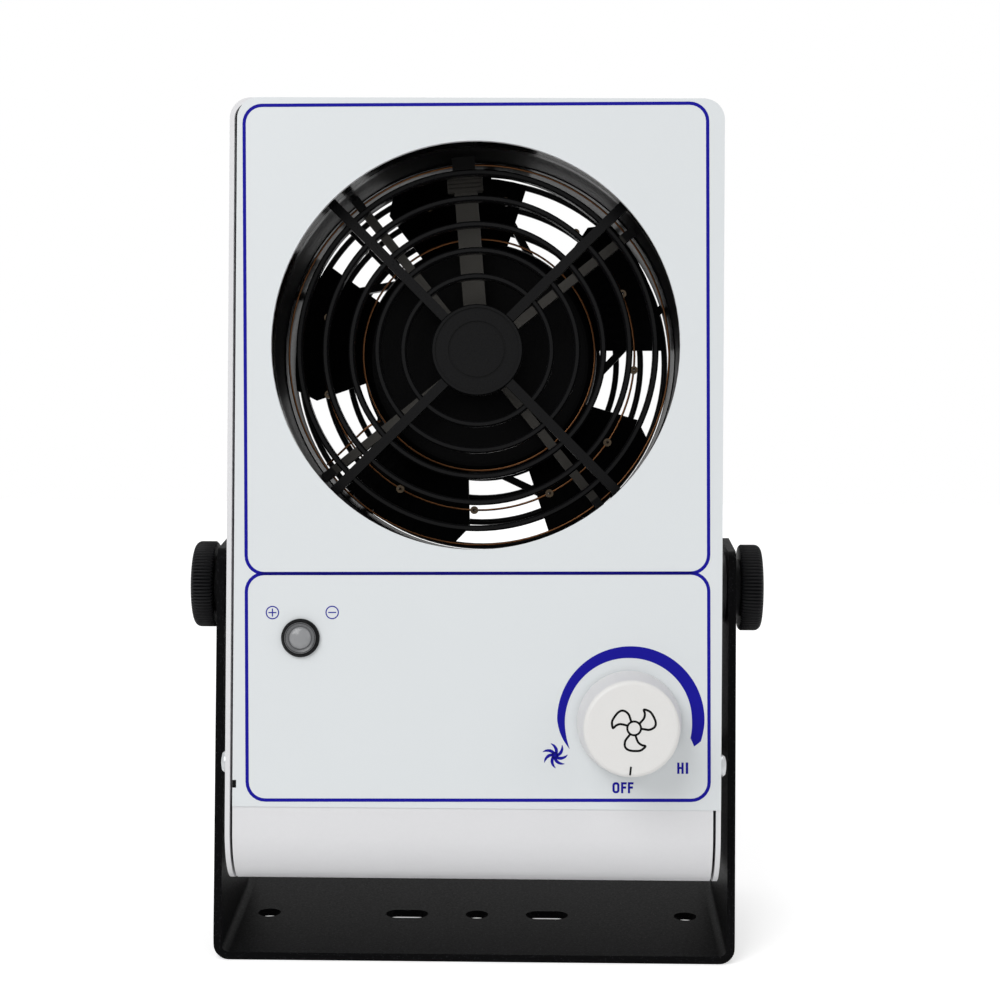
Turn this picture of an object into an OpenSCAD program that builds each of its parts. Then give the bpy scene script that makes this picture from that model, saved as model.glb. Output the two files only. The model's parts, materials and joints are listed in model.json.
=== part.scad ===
// Bench-top ionizing air blower: a sheet-metal housing that tilts in a U bracket.
// The origin is on the underside of the bracket, under the tilt axis.
// X runs to the right, Y to the back and Z up.

/* [Housing] */
// Width of the front panel, between the side walls of the cover
panel_w = 120; // [120:1:150]
// Height of the housing
housing_h = 195; // [192:1:240]
// Depth of the housing, from its front face to its back face
housing_d = 67; // [66:1:90]
// Thickness of the painted sheet
sheet_t = 1.2; // [1:0.1:1.6]
// Gap between the edges of the front panel and the cover
cover_gap = 0.7; // [0.4:0.1:1]
// Outer bend radius along the two top edges of the cover
top_bend_r = 5.3; // [4:0.1:8]
// Outer bend radius where the front and back panels turn into the bottom
foot_bend_r = 14; // [10:1:18]
// Width of the return flanges on the front and back panels
flange_w = 10; // [8:1:12]
// Height of the tilt axis above the underside of the housing
pivot_up = 72; // [66:1:80]
// Lean of the housing towards the back at rest, in degrees
rest_tilt = 9; // [0:1:20]

/* [Printed film] */
// Thickness of the printed film on the front
film_t = 0.3; // [0.2:0.1:0.6]
// Height of the film's lower edge above the underside of the housing
film_foot = 17.6; // [15:0.1:22]

/* [Bracket] */
// Thickness of the bracket's sheet
bracket_t = 2; // [1.5:0.1:3]
// Depth of the bracket's base
bracket_d = 60; // [50:1:80]
// Height of the tilt axis above the table
pivot_h = 93; // [90:1:110]
// Length of an arm above the tilt axis
arm_above = 11.5; // [8:0.5:16]
// Width of an arm at its top
arm_top_w = 25; // [20:1:30]
// Gap between the housing and an arm, which the washer fills
side_gap = 3.3; // [2.5:0.1:5]
// Diameter of the round holes in the base
base_hole = 6.2; // [5:0.1:7]
// Distance between the two outer holes of the base
base_hole_pitch = 113; // [100:1:114]
// Distance between the two slots of the base
base_slot_pitch = 38; // [30:1:50]
// Length of a slot from end to end
base_slot_l = 11.5; // [8:0.5:15]

/* [Clamp knobs] */
// Diameter over the ribs of a clamp knob
clamp_d = 22.7; // [20:0.1:26]
// Length of the ribbed part of a clamp knob
clamp_l = 6.6; // [5:0.1:12]
// Number of ribs round a clamp knob
clamp_ribs = 76; // [40:2:90]
// Diameter of the clamp studs
stud_d = 5; // [4:0.5:6]

/* [Air path] */
// Distance from the top of the housing down to the fan's axis
fan_down = 61.8; // [60:0.1:75]
// Diameter of the round opening in the front panel
opening_d = 102.2; // [90:0.1:103]
// Depth of the grille's face behind the front face of the panel
grille_recess = 16; // [12:0.5:18]
// Thickness of the grille
grille_t = 3.5; // [2.5:0.1:4]
// Width of one grille ring, seen from the front
grille_bar = 1.55; // [1.2:0.05:2.2]
// Radius of the innermost grille ring
grille_first_r = 19.1; // [17:0.1:22]
// Distance from one grille ring to the next
grille_pitch = 6.7; // [5.5:0.1:6.8]
// Number of grille rings
grille_rings = 5; // [3:1:5]
// Radius of the grille's hub
grille_hub_r = 11.8; // [9:0.1:14]
// Width of a grille spoke
grille_spoke = 2.5; // [2:0.1:4]

/* [Emitter] */
// Depth of the wire rings behind the front face of the panel
emitter_depth = 33; // [31:0.5:34]
// Radius of the outer ground ring
outer_ring_r = 50.4; // [48:0.1:51]
// Radius of the ring that carries the needles
emitter_ring_r = 41.2; // [38:0.1:44]
// Radius of the inner ground ring
inner_ring_r = 30.7; // [26:0.1:34]
// Diameter of the ring wire
ring_wire = 0.8; // [0.6:0.1:1.2]
// Number of emitter needles
needle_count = 12; // [6:1:12]
// Angle between two needles, in degrees
needle_step = 28.65; // [20:0.05:28.7]

/* [Fan] */
// Side of the square fan frame
fan_size = 110; // [108:1:112]
// Depth of the fan
fan_d = 25.4; // [24:0.1:26]
// Distance between two neighbouring fan screws
fan_pitch = 95; // [94:0.5:97]
// Radius of the fan's bore
bore_r = 52.2; // [51:0.1:52.4]
// Gap between the blade tips and the bore
tip_gap = 1.4; // [0.8:0.1:3]
// Radius of the impeller's hub
hub_r = 31.5; // [28:0.1:34]
// Number of blades, and of struts behind them
blade_count = 5; // [3:1:6]
// Angle that a blade covers at its tip, in degrees
blade_sweep = 47; // [30:1:55]

/* [Controls] */
// Distance of the speed knob from the right edge of the front panel
knob_from_right = 21.1; // [18:0.1:26]
// Height of the speed knob's axis above the underside of the housing
knob_up = 39.3; // [37:0.1:46]
// Diameter of the speed knob at its foot
knob_d = 26; // [20:0.5:30]
// Diameter of the speed knob's face
knob_face_d = 23.5; // [18:0.5:26]
// Height of the speed knob
knob_l = 15.4; // [12:0.1:20]
// Distance of the indicator from the left edge of the front panel
lamp_from_left = 16.8; // [14:0.1:30]
// Height of the indicator above the underside of the housing
lamp_up = 59.8; // [52:0.1:66]
// Diameter of the indicator's bezel
bezel_d = 9.6; // [8:0.1:12]

/* [Hidden] */
$fn = 96;
eps = 0.5; // overshoot of a cut

// Sizes worked out from the ones above
housing_w = panel_w + 2 * (cover_gap + sheet_t);
pivot_back = housing_d / 2;
fan_up = housing_h - fan_down;
panel_top = housing_h - sheet_t - cover_gap;
bracket_in = housing_w + 2 * side_gap;
bracket_w = bracket_in + 2 * bracket_t;
clamp_collar = 1.5;
clamp_clearance = 0.3;
running = 0.05; // radial clearance of a shaft in its bearing
seat = 0.02; // radial clearance of a pressed fit

// The air path, as depths behind the front face
duct_r = bore_r + 0.3;
duct_wall = 2.1;
duct_flange = 2;
grille_back = grille_recess + grille_t;
fan_front = housing_d - sheet_t - fan_d;
fan_back = housing_d - sheet_t;
fan_flange = 4;
corner_r = 6;
corner_hole_r = 2.2;
screw_r = 1.95;
panel_nut_r = 4;
panel_nut_l = 5;
arm_t = 4;
arm_w = 2.4;
arm_turn = 39; // angle of the first thin arm
wide_arm_w = 6;
wide_arm_t = 7;
wide_arm_turn = 95;
needle_turn = 240; // angle of the first needle

// The motor and the impeller
plate_t = 3.2;
plate_r = 33;
strut_w = 2;
strut_offset = 26; // distance from the fan's axis to the line of a strut
strut_turn = 47;
hub_front = fan_front + 3.6;
hub_back = fan_back - plate_t - 0.8;
hub_wall = 1.6;
hub_face = 2;
shaft_r = 2.5;
boss_r = 5;
boss_l = 4;
tube_r = 6.5;
bearing_r = 4;
bearing_l = 3;
tube_front = hub_front + hub_face + boss_l + 0.5;
tube_back = fan_back - plate_t;
blade_turn = 27.4; // angle of the first blade's middle
blade_root_sweep = blade_sweep - 4.5;
blade_front = hub_front + 1;
blade_rise = hub_back - 1 - blade_front;
blade_tip_r = bore_r - tip_gap;
blade_corner = 5;

// The rear guard
guard_wire = 1.7;
guard_first_r = 17.3;
guard_pitch = 6.8;
guard_rings = 7;
intake_r = bore_r + 1.8;
guard_spoke_depth = housing_d + guard_wire / 2;
guard_ring_depth = guard_spoke_depth + guard_wire - 0.1;

// The controls
knob_x = panel_w / 2 - knob_from_right;
lamp_x = lamp_from_left - panel_w / 2;
pot_r = 12;
pot_l = 12;
bushing_r = 4.5;
bushing_front = -5;
pot_front = sheet_t + 1;
pot_shaft_r = 3;
knob_lift = 0.6; // gap between the film and the speed knob
knob_foot = -film_t - knob_lift;
knob_recess_r = 8;
knob_recess_l = 5.5;
lamp_bush_r = 3.9;
lens_r = 2.9;

// The inlet in the back panel
inlet_x = 28;
inlet_up = 36;
inlet_w = 27.2;
inlet_h = 19.4;
inlet_flange_w = 50;
inlet_flange_h = 22.4;
inlet_flange_t = 2.2;
inlet_pitch = 40;
inlet_mouth_w = 24.6;
inlet_mouth_h = 16.6;
inlet_mouth_d = 17;
inlet_in = housing_d - 23;

// The transformer on the bottom
core_w = 44;
core_h = 37;
core_d = 20;
leg_w = 14.6;
window_w = 7.3;
window_h = 22;
coil_d = 33;
core_x = -26;
core_depth = 34;
strap_t = 1;
strap_d = 14;
strap_foot = 9;

// The control board over the bottom
board_x = 31;
board_w = 50;
board_depth = pivot_back;
board_d = 40;
board_up = 9;
board_t = 1.6;
board_hole_x = 21;
board_hole_d = 16;

// ---- Places ----

// The housing's own frame: origin on the tilt axis, turned by the lean
module in_housing() translate([0, 0, pivot_h]) rotate([-rest_tilt, 0, 0]) children();

// Inside the housing: x from the middle, depth behind the front face, height above the underside
module place(x, depth, up) in_housing() translate([x, depth - pivot_back, up - pivot_up]) children();

// On the front face, with the child's z towards the viewer
module facing(x, up) place(x, 0, up) rotate([90, 0, 0]) children();
module on_fan_axis() facing(0, fan_up) children();

// On the back face, with the child's z away from the housing
module facing_back(x, up) place(x, housing_d, up) rotate([90, 0, 180]) children();

// On the tilt axis, with the child's z outwards: side is 1 on the right and -1 on the left
module on_tilt_axis(side) in_housing() rotate([0, 90 * side, 0]) children();

// ---- Shapes that are used more than once ----

// A flat piece whose front face lies at a depth behind the front panel's face
module slab(depth, t) translate([0, 0, -depth - t]) linear_extrude(t) children();

// A turned piece: the profile's y runs away from the viewer, from a depth on
module turned(depth) translate([0, 0, -depth]) mirror([0, 0, 1]) rotate_extrude() children();

// A ring of round wire at a depth
module wire_ring(r, depth, wire) translate([0, 0, -depth]) rotate_extrude() translate([r, 0]) circle(wire / 2, $fn = 32);

module rounded_square(w, h, r) {
    square([w - 2 * r, h], center = true);
    square([w, h - 2 * r], center = true);
    for (x = [-1, 1], y = [-1, 1]) translate([x * (w / 2 - r), y * (h / 2 - r)]) circle(r, $fn = 48);
}

// The four corners of a square pattern
module at_corners(pitch) for (x = [-1, 1], y = [-1, 1]) translate([x * pitch / 2, y * pitch / 2]) children();

// A rectangle that stands on y = 0 with its two top corners rounded
module top_rounded(w, h, r) {
    translate([-w / 2, 0]) square([w, h - r]);
    translate([r - w / 2, 0]) square([w - 2 * r, h]);
    for (x = [-1, 1]) translate([x * (w / 2 - r), h - r]) circle(r, $fn = 64);
}

// A slot from end to end along x
module slot_2d(l, w) {
    square([l - w, w], center = true);
    for (x = [-1, 1]) translate([x * (l - w) / 2, 0]) circle(w / 2, $fn = 48);
}

// A pan-head screw: its head stands on z = 0 and its shank runs down
module screw(shank_r, length, head_r, head_t) {
    translate([0, 0, -length]) cylinder(h = length, r = shank_r, $fn = 32);
    rotate_extrude($fn = 48) polygon([[0, 0], [head_r, 0], [head_r, head_t * 0.5], [head_r * 0.8, head_t * 0.88],
        [head_r * 0.45, head_t], [head_r * 0.18, head_t], [head_r * 0.18, head_t * 0.55], [0, head_t * 0.55]]);
}

// Points along an arc
function arc_points(x, y, r, from, to, n) =
    [for (i = [0 : n]) let (a = from + (to - from) * i / n) [x + r * cos(a), y + r * sin(a)]];

// Skin of a closed tube of rings, as triangles: rings of k points each, capped at both ends
function tube_faces(n, k) = concat(
    [for (i = [0 : n - 2], j = [0 : k - 1]) [i * k + j, (i + 1) * k + j, i * k + (j + 1) % k]],
    [for (i = [0 : n - 2], j = [0 : k - 1]) [(i + 1) * k + j, (i + 1) * k + (j + 1) % k, i * k + (j + 1) % k]],
    [[for (j = [0 : k - 1]) j]],
    [[for (j = [k - 1 : -1 : 0]) (n - 1) * k + j]]);

function unit(v) = v / norm(v);

// One ring of a tube round point p, square to direction d, with a fixed side vector
function ring_at(p, d, side, r, k) =
    let (u = unit(cross(d, side)), w = unit(cross(u, d)))
    [for (j = [0 : k - 1]) p + r * cos(360 * j / k) * u + r * sin(360 * j / k) * w];

// Points of a smooth curve through a list, by Catmull-Rom, with n steps in each stretch
function smooth(p, n) = let (m = len(p) - 1) concat(
    [for (i = [0 : m - 1], s = [0 : n - 1])
        let (t = s / n, a = p[max(i - 1, 0)], b = p[i], c = p[i + 1], d = p[min(i + 2, m)])
        (2 * b + (c - a) * t + (2 * a - 5 * b + 4 * c - d) * t * t + (3 * b - a - 3 * c + d) * t * t * t) / 2],
    [p[m]]);

// A tube along a list of points, with a radius for each point
module tube_along(points, radii, side, k = 8) {
    n = len(points);
    rings = [for (i = [0 : n - 1])
        ring_at(points[i], points[min(i + 1, n - 1)] - points[max(i - 1, 0)], side, radii[i], k)];
    polyhedron(points = [for (ring = rings, p = ring) p], faces = tube_faces(n, k));
}

// ---- Bracket ----

// Outline of an arm from the side: as deep as the base below, narrower and rounded on top
module arm_outline() {
    top = pivot_h + arm_above;
    foot = 6;
    r = 3;
    lean = atan((bracket_d - arm_top_w) / 2 / (top - foot));
    x = arm_top_w / 2 + r * tan(lean) - r / cos(lean);
    polygon(concat([[-bracket_d / 2, 0], [bracket_d / 2, 0], [bracket_d / 2, foot]],
        arc_points(x, top - r, r, lean, 90, 6), arc_points(-x, top - r, r, 90, 180 - lean, 6),
        [[-bracket_d / 2, foot]]));
}

// Cross-section of the bracket from the front, with bent corners
module bracket_section(inset) {
    r = 4 - inset;
    w = bracket_w - 2 * inset;
    translate([0, inset + r]) translate([-w / 2, 0]) square([w, pivot_h + 40]);
    translate([r - w / 2, inset]) square([w - 2 * r, 2 * r]);
    for (x = [-1, 1]) translate([x * (w / 2 - r), inset + r]) circle(r, $fn = 48);
}

module bracket() color("#202022") difference() {
    intersection() {
        translate([0, bracket_d / 2, 0]) rotate([90, 0, 0]) linear_extrude(bracket_d) difference() {
            bracket_section(0);
            bracket_section(bracket_t);
        }
        rotate([90, 0, 90]) linear_extrude(bracket_w + 2, center = true) arm_outline();
    }
    translate([0, 0, pivot_h]) rotate([0, 90, 0]) cylinder(h = bracket_w + 2, r = stud_d / 2 + 0.6, center = true);
    translate([0, 0, -eps]) linear_extrude(bracket_t + 2 * eps) {
        circle(d = base_hole);
        for (x = [-1, 1]) {
            translate([x * base_hole_pitch / 2, 0]) circle(d = base_hole);
            translate([x * base_slot_pitch / 2, 0]) slot_2d(base_slot_l, base_hole);
        }
    }
}

module friction_washers() color("#2b2b2d") for (side = [-1, 1])
    translate([0, 0, pivot_h]) rotate([0, 90 * side, 0]) translate([0, 0, bracket_in / 2 - side_gap + 0.3])
        linear_extrude(side_gap - 0.3) difference() {
            circle(9.25);
            circle(stud_d / 2 + 0.6);
        }

// ---- Housing ----

// Side view of the housing: x is depth, y is height, both ends of the bottom rounded
module side_outline(inset, top) {
    r = foot_bend_r;
    translate([inset, r]) square([housing_d - 2 * inset, top - r]);
    translate([r, inset]) square([housing_d - 2 * r, r]);
    for (x = [r, housing_d - r]) translate([x, r]) circle(r - inset);
}

// A side view carried across the width
module across(w) rotate([90, 0, 90]) linear_extrude(w, center = true) children();

// A front view carried from front to back
module along_depth() translate([0, housing_d + eps, 0]) rotate([90, 0, 0]) linear_extrude(housing_d + 2 * eps) children();

// Holes through the front panel and whatever covers it
module front_holes() {
    on_front(0, fan_up) circle(d = opening_d, $fn = 180);
    on_front(knob_x, knob_up) circle(bushing_r + 0.1);
    on_front(lamp_x, lamp_up) circle(lamp_bush_r + 0.1);
}
module on_front(x, up) translate([x, -2, up]) rotate([-90, 0, 0]) linear_extrude(4) children();
module on_back(x, up) translate([x, housing_d - 2, up]) rotate([-90, 0, 0]) linear_extrude(4) children();

cover_screw_spots = [[flange_w / 2 + sheet_t, foot_bend_r + 14], [housing_d - sheet_t - flange_w / 2, foot_bend_r + 14],
    [housing_d - sheet_t - flange_w / 2, panel_top - 12]];

module chassis() color("#dededf") place(0, 0, 0) difference() {
    union() {
        intersection() {
            across(panel_w) difference() {
                side_outline(0, panel_top);
                side_outline(sheet_t, panel_top + 1);
            }
            along_depth() top_rounded(panel_w, panel_top, top_bend_r - sheet_t - cover_gap);
        }
        for (side = [-1, 1], depth = [sheet_t / 2, fan_back - flange_w])
            translate([side * (panel_w - sheet_t) / 2, depth, foot_bend_r + 6])
                translate([-sheet_t / 2, 0, 0])
                    cube([sheet_t, flange_w + sheet_t / 2, panel_top - foot_bend_r - 14]);
    }
    front_holes();
    on_back(0, fan_up) {
        circle(intake_r, $fn = 180);
        at_corners(fan_pitch) circle(corner_hole_r, $fn = 32);
    }
    on_back(inlet_x, inlet_up) {
        rounded_square(inlet_w + 0.4, inlet_h + 0.4, 3);
        for (x = [-1, 1]) translate([x * inlet_pitch / 2, 0]) circle(1.7, $fn = 32);
    }
    for (spot = cover_screw_spots) translate([0, spot[0], spot[1]])
        rotate([0, 90, 0]) cylinder(h = panel_w + 2, r = 1.5 + running, center = true, $fn = 32);
    for (x = [-1, 1]) translate([core_x + x * (core_w + strap_foot) / 2, core_depth, -1])
        cylinder(h = 4, r = 1.5 + running, $fn = 32);
    translate([board_x, board_depth, -1]) board_spots() cylinder(h = 4, r = 1.6, $fn = 32);
}

module cover() color("#e2e2e3") place(0, 0, 0) difference() {
    intersection() {
        along_depth() difference() {
            top_rounded(housing_w, housing_h, top_bend_r);
            translate([0, -1]) top_rounded(housing_w - 2 * sheet_t, housing_h - sheet_t + 1, top_bend_r - sheet_t);
        }
        across(housing_w + 2) side_outline(0, housing_h);
    }
    translate([0, pivot_back, pivot_up]) rotate([0, 90, 0])
        cylinder(h = housing_w + 2, r = stud_d / 2 + 0.6, center = true);
    for (spot = cover_screw_spots) translate([0, spot[0], spot[1]])
        rotate([0, 90, 0]) cylinder(h = housing_w + 2, r = 1.7, center = true, $fn = 32);
}

module cover_screws() color("#b9b9bb") for (spot = cover_screw_spots, side = [-1, 1])
    place(side * housing_w / 2, spot[0], spot[1]) rotate([0, 90 * side, 0]) screw(1.5, 5, 2.8, 1.7);

// The film starts at the panel's left edge and covers the cover's edge on the right
module overlay_film() color("#dfe3e4") place(0, 0, 0) difference() {
    w = (panel_w + housing_w) / 2;
    translate([housing_w / 2 - w / 2, 0, 0]) rotate([90, 0, 0]) linear_extrude(film_t) difference() {
        top_rounded(w, housing_h, top_bend_r);
        translate([-w, -1]) square([2 * w, film_foot + 1]);
    }
    front_holes();
}

module stud_nuts() color("#b5b5b8") for (side = [-1, 1])
    on_tilt_axis(side) translate([0, 0, housing_w / 2 - sheet_t - 2.4]) linear_extrude(2.4) difference() {
        circle(4.4, $fn = 48);
        circle(stud_d / 2 + running, $fn = 48);
    }

// ---- Air path ----

// A square-flanged tube that spaces two pieces of the air path apart
module spacer_tube(front, back) difference() {
    union() {
        slab(front, duct_flange) rounded_square(fan_size, fan_size, corner_r);
        slab(back - duct_flange, duct_flange) rounded_square(fan_size, fan_size, corner_r);
        slab(front, back - front) circle(duct_r + duct_wall, $fn = 180);
    }
    slab(front - eps, back - front + 2 * eps) circle(duct_r, $fn = 180);
    slab(front - eps, back - front + 2 * eps) at_corners(fan_pitch) circle(corner_hole_r, $fn = 32);
}

module duct_ring() color("#19191b") on_fan_axis() difference() {
    spacer_tube(sheet_t, grille_recess);
    slab(sheet_t - eps, duct_flange + 2 * eps) at_corners(fan_pitch) circle(panel_nut_r + 0.3, $fn = 48);
}

// Cross-section of a grille ring: a bar with its front edges rounded
module grille_bar_profile(r) polygon([[r - grille_bar / 2, 0.5], [r - grille_bar / 4, 0], [r + grille_bar / 4, 0],
    [r + grille_bar / 2, 0.5], [r + grille_bar / 2, grille_t], [r - grille_bar / 2, grille_t]]);

module front_grille() color("#1b1b1d") on_fan_axis() difference() {
    union() {
        difference() {
            slab(grille_recess, grille_t) rounded_square(fan_size, fan_size, corner_r);
            slab(grille_recess - eps, grille_t + 2 * eps) circle(duct_r, $fn = 180);
        }
        turned(grille_recess) for (i = [0 : grille_rings - 1]) grille_bar_profile(grille_first_r + i * grille_pitch);
        // The hub stands proud of the rings and has a raised rim and a round groove
        turned(grille_recess) polygon([[0, -0.4], [6.9, -0.4], [6.9, 0], [7.5, 0], [7.5, -0.4],
            [grille_hub_r - 0.9, -0.4], [grille_hub_r - 0.9, -0.9], [grille_hub_r - 0.3, -0.9],
            [grille_hub_r, -0.5], [grille_hub_r, grille_t], [0, grille_t]]);
        for (a = [45 : 90 : 315]) rotate(a) translate([grille_hub_r - 1, -grille_spoke / 2, -grille_back]) {
            cube([duct_r + 1.5 - grille_hub_r, grille_spoke, grille_t]);
            cube([duct_r + 0.7 - grille_hub_r, grille_spoke, grille_t + 0.4]);
        }
    }
    slab(grille_recess - eps, grille_t + 2 * eps) at_corners(fan_pitch) circle(corner_hole_r, $fn = 32);
}

module emitter_frame() color("#202022") on_fan_axis() difference() {
    union() {
        spacer_tube(grille_back, fan_front);
        slab(emitter_depth - arm_t / 2, arm_t) {
            circle(7);
            for (a = [0 : 90 : 270]) rotate(arm_turn + a) translate([5, -arm_w / 2]) square([duct_r - 4.5, arm_w]);
        }
        slab(emitter_depth - arm_t / 2, wide_arm_t) rotate(wide_arm_turn) translate([5, -wide_arm_w / 2])
            square([duct_r - 4.5, wide_arm_w]);
        // The wide arm carries a ribbed block near its outer end
        rotate(wide_arm_turn) for (i = [0 : 3]) translate([emitter_ring_r + 2 + i * 1.1, -4.7, -emitter_depth - 1])
            cube([0.7, 9.4, 4]);
        rotate(wide_arm_turn) translate([emitter_ring_r + 1.8, -4.5, -emitter_depth - 1]) cube([4.4, 9, 3.4]);
    }
    // Channels through the arms for the three wire rings
    for (r = [inner_ring_r, emitter_ring_r, outer_ring_r]) wire_ring(r, emitter_depth, ring_wire + 0.2);
    // A bore along the wide arm for the lead
    rotate(wide_arm_turn) {
        translate([lead_in_r - 2.5, 0, -lead_depth]) rotate([0, 90, 0]) cylinder(h = 20, r = lead_r + 0.2, $fn = 32);
        translate([emitter_ring_r - 1, 0, -bare_depth]) rotate([0, 90, 0]) cylinder(h = 7.5, r = lead_bare_r + 0.2, $fn = 32);
    }
}

module outer_ground_ring() color("#8a5b3c") on_fan_axis() wire_ring(outer_ring_r, emitter_depth, ring_wire);
module inner_ground_ring() color("#8a5b3c") on_fan_axis() wire_ring(inner_ring_r, emitter_depth, ring_wire);

// The emitter ring is open beside the arm that the jumper follows
module emitter_ring() color("#8a5b3c") on_fan_axis() translate([0, 0, -emitter_depth]) rotate(needle_turn - 4)
    rotate_extrude(angle = needle_step * (needle_count - 1) + 8) translate([emitter_ring_r, 0])
        circle(ring_wire / 2, $fn = 32);

module emitter_needles() color("#6d5a44") on_fan_axis() difference() {
    for (i = [0 : needle_count - 1]) rotate(needle_turn + i * needle_step) translate([emitter_ring_r, 0, 0]) {
        slab(emitter_depth - 1.2, 2.4) circle(1.05, $fn = 24);
        turned(emitter_depth - 5) polygon([[0, 0], [0.35, 1.6], [0.35, 6.6], [0, 6.6]]);
    }
    wire_ring(emitter_ring_r, emitter_depth, ring_wire + 0.1);
}

// A bare wire that links the two ground rings through the emitter ring's gap
jumper_points = [[31.4, -2.6, 0], [33, -3.2, 0.7], [36, -3.4, 0.9], [41, -3, 0.6], [46, -2.6, 0.4], [49.7, -2.4, 0]];
module ring_jumper() color("#8a5b3c") on_fan_axis() translate([0, 0, -emitter_depth]) rotate(arm_turn + 180)
    tube_along(smooth(jumper_points, 3), [for (i = [0 : 15]) 0.3], [0, 0, 1]);

// ---- Fan ----

module fan_frame() color("#17171a") on_fan_axis() {
    difference() {
        union() {
            slab(fan_front, fan_flange) rounded_square(fan_size, fan_size, corner_r);
            slab(fan_back - fan_flange, fan_flange) rounded_square(fan_size, fan_size, corner_r);
            slab(fan_front, fan_d) circle(bore_r + 2, $fn = 180);
        }
        slab(fan_front - eps, fan_d + 2 * eps) circle(bore_r, $fn = 180);
        slab(fan_front - eps, fan_d + 2 * eps) at_corners(fan_pitch) circle(corner_hole_r, $fn = 32);
    }
    // The motor's plate on slanted struts
    slab(fan_back - plate_t, plate_t) difference() {
        union() {
            circle(plate_r);
            for (i = [0 : blade_count - 1]) rotate(strut_turn + i * 360 / blade_count)
                translate([plate_r / 2, -strut_offset - strut_w / 2])
                    square([sqrt(pow(bore_r + 1, 2) - pow(strut_offset, 2)) - plate_r / 2, strut_w]);
        }
        circle(bearing_r - 1);
    }
    slab(tube_front, tube_back - tube_front + 0.5) difference() {
        circle(tube_r);
        circle(bearing_r);
    }
}

module fan_stator() color("#8d8f92") on_fan_axis() difference() {
    union() {
        slab(hub_front + 7.5, 8) circle(24.5);
        slab(hub_front + 6, 11) difference() {
            circle(20);
            circle(11);
        }
    }
    slab(hub_front + 5, 14) circle(tube_r + seat);
    // Slots between the poles
    slab(hub_front + 7, 9) for (a = [0 : 45 : 315]) rotate(a) translate([20.5, -0.8]) square([6, 1.6]);
}

module fan_bearings() color("#c3c4c8") on_fan_axis() for (front = [tube_front + 0.3, tube_back - bearing_l - 0.3])
    slab(front, bearing_l) difference() {
        circle(bearing_r - seat, $fn = 64);
        circle(shaft_r + running, $fn = 64);
    }

module fan_shaft() color("#c9cacd") on_fan_axis()
    slab(hub_front + 1, tube_back - hub_front - 1.4) circle(shaft_r, $fn = 64);

module rotor_can() color("#9a9b9e") on_fan_axis() slab(hub_front + hub_face + 0.1, hub_back - hub_front - hub_face - 1)
    difference() {
        circle(hub_r - hub_wall - seat);
        circle(hub_r - hub_wall - 1.2);
    }

// A blade: u runs along its sweep from 0 to 1 and v from root to tip. Its depth follows the sweep
// with a slight camber, and the trailing corner of its tip is rounded off.
blade_nu = 10;
blade_nv = 4;
function blade_outer(u) = let (arc = blade_tip_r * blade_sweep * (1 - u) * PI / 180)
    arc >= blade_corner ? blade_tip_r
    : blade_tip_r - blade_corner + sqrt(blade_corner * blade_corner - pow(blade_corner - arc, 2));
function blade_point(u, v, face) =
    let (root = hub_r - 0.4, r = root + v * (blade_outer(u) - root),
        sweep = blade_root_sweep + (blade_sweep - blade_root_sweep) * v,
        a = (u - 0.5) * sweep,
        depth = blade_front + blade_rise * (1 - u) + 1.2 * sin(180 * u),
        t = 0.6 + 1.1 * sin(180 * pow(u, 0.8)))
    [r * cos(a), r * sin(a), -depth - face * t];
blade_points = [for (u = [0 : blade_nu], face = [0, 1], s = [0 : blade_nv])
    blade_point(u / blade_nu, face == 0 ? s / blade_nv : 1 - s / blade_nv, face)];

module impeller() color("#141416") on_fan_axis() difference() {
    union() {
        turned(hub_front) polygon(concat([[0, 0]], arc_points(hub_r - 3, 3, 3, -90, 0, 6),
            [[hub_r, hub_back - hub_front], [hub_r - hub_wall, hub_back - hub_front],
            [hub_r - hub_wall, hub_face], [boss_r, hub_face], [boss_r, hub_face + boss_l], [0, hub_face + boss_l]]));
        for (i = [0 : blade_count - 1]) rotate(blade_turn + i * 360 / blade_count)
            polyhedron(points = blade_points, faces = tube_faces(blade_nu + 1, 2 * (blade_nv + 1)));
    }
    slab(hub_front + 1, 12) circle(shaft_r + seat, $fn = 64);
}

// Concentric wires on two crossed wires whose ends are bent round the fan screws
module rear_guard() color("#19191b") on_fan_axis() {
    for (i = [0 : guard_rings - 1]) wire_ring(guard_first_r + i * guard_pitch, guard_ring_depth, guard_wire);
    for (a = [45 : 90 : 315]) rotate(a) {
        translate([guard_first_r - 1, 0, -guard_spoke_depth]) rotate([0, 90, 0])
            cylinder(h = fan_pitch / sqrt(2) - 3 - guard_first_r + 1, r = guard_wire / 2, $fn = 32);
        translate([fan_pitch / sqrt(2), 0, 0]) wire_ring(3.2, guard_spoke_depth, guard_wire);
    }
}

module fan_screws() color("#b9b9bb") on_fan_axis() at_corners(fan_pitch)
    translate([0, 0, -housing_d - guard_wire - 0.05]) mirror([0, 0, 1])
        screw(screw_r, housing_d + guard_wire - sheet_t - 1.5, 4, 2.6);

module panel_nuts() color("#b5b5b8") on_fan_axis() at_corners(fan_pitch) slab(sheet_t, panel_nut_l) difference() {
    circle(panel_nut_r, $fn = 48);
    circle(screw_r + running, $fn = 48);
}

// ---- High voltage ----

module transformer_core() color("#7d7f82") place(core_x, core_depth, sheet_t) difference() {
    translate([-core_w / 2, -core_d / 2, 0]) cube([core_w, core_d, core_h]);
    for (x = [-1, 1]) translate([x * (leg_w + window_w) / 2 - window_w / 2, -core_d, (core_h - window_h) / 2])
        cube([window_w, 2 * core_d, window_h]);
}

module transformer_coil() color("#b58b2a") place(core_x, core_depth, sheet_t + core_h / 2) difference() {
    gap = 0.2;
    linear_extrude(window_h - 2 * gap, center = true)
        rounded_square(leg_w + 2 * window_w - 2 * gap, coil_d, 3);
    cube([leg_w + 2 * gap, core_d + 2 * gap, window_h + 1], center = true);
}

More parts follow.
